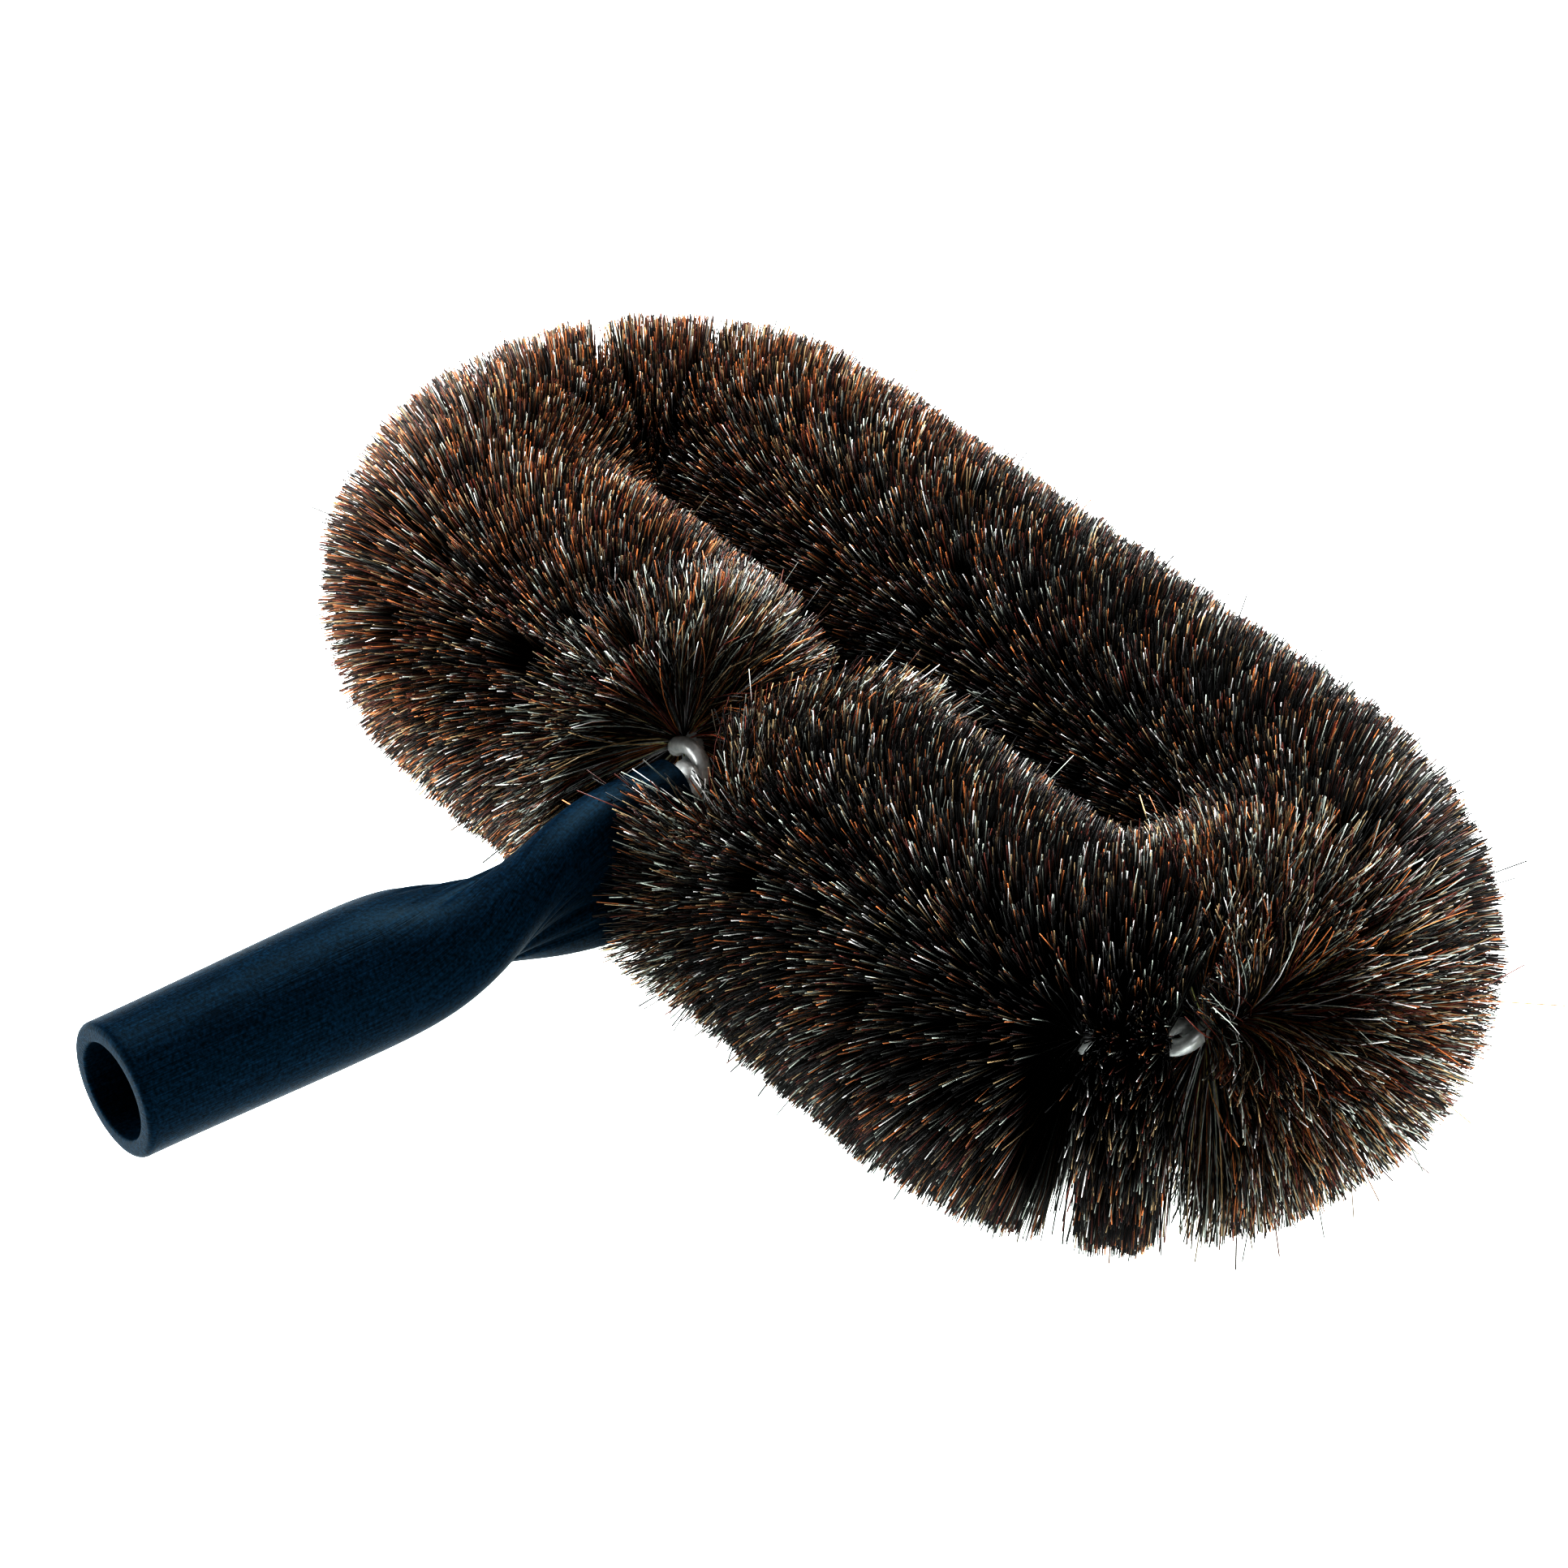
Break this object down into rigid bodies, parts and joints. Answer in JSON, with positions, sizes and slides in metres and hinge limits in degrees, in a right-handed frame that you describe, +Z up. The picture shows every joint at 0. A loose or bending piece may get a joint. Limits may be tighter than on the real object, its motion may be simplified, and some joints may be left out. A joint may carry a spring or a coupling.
{
  "type": "wheel brush",
  "caption": "Oval ring brush of hair bristles clamped in a twisted wire core, with a tubular pole socket squashed onto the wire ends at the middle of one long side.",
  "frame": {"origin": "middle of the bounding box's bottom, level with the lowest bristle tips that the brush rests on", "axes": "+X along the oval's long axis, -Y towards the open mouth of the pole socket, +Z up with the ring lying flat"},
  "size_m": [0.326, 0.277, 0.086],
  "materials": {
    "black_plastic": "satin, finely scratched along the tube",
    "galvanised_wire": "dull zinc",
    "bristle_mix": "mixed dark brown, red-brown and grey horsehair"
  },
  "bodies": {
    "root": {"pole_socket": "black_plastic", "core_wire_a": "galvanised_wire", "core_wire_b": "galvanised_wire", "bristles_near_left_1": "bristle_mix", "bristles_near_left_2": "bristle_mix", "bristles_near_left_3": "bristle_mix", "bristles_left_bend_1": "bristle_mix", "bristles_left_bend_2": "bristle_mix", "bristles_left_bend_3": "bristle_mix", "bristles_left_bend_4": "bristle_mix", "bristles_left_bend_5": "bristle_mix", "bristles_left_bend_6": "bristle_mix", "bristles_far_side_1": "bristle_mix", "bristles_far_side_2": "bristle_mix", "bristles_far_side_3": "bristle_mix", "bristles_far_side_4": "bristle_mix", "bristles_far_side_5": "bristle_mix", "bristles_far_side_6": "bristle_mix", "bristles_far_side_7": "bristle_mix", "bristles_far_side_8": "bristle_mix", "bristles_right_bend_1": "bristle_mix", "bristles_right_bend_2": "bristle_mix", "bristles_right_bend_3": "bristle_mix", "bristles_right_bend_4": "bristle_mix", "bristles_right_bend_5": "bristle_mix", "bristles_right_bend_6": "bristle_mix", "bristles_near_right_1": "bristle_mix", "bristles_near_right_2": "bristle_mix", "bristles_near_right_3": "bristle_mix", "bristles_near_right_4": "bristle_mix"}
  },
  "joints": []
}
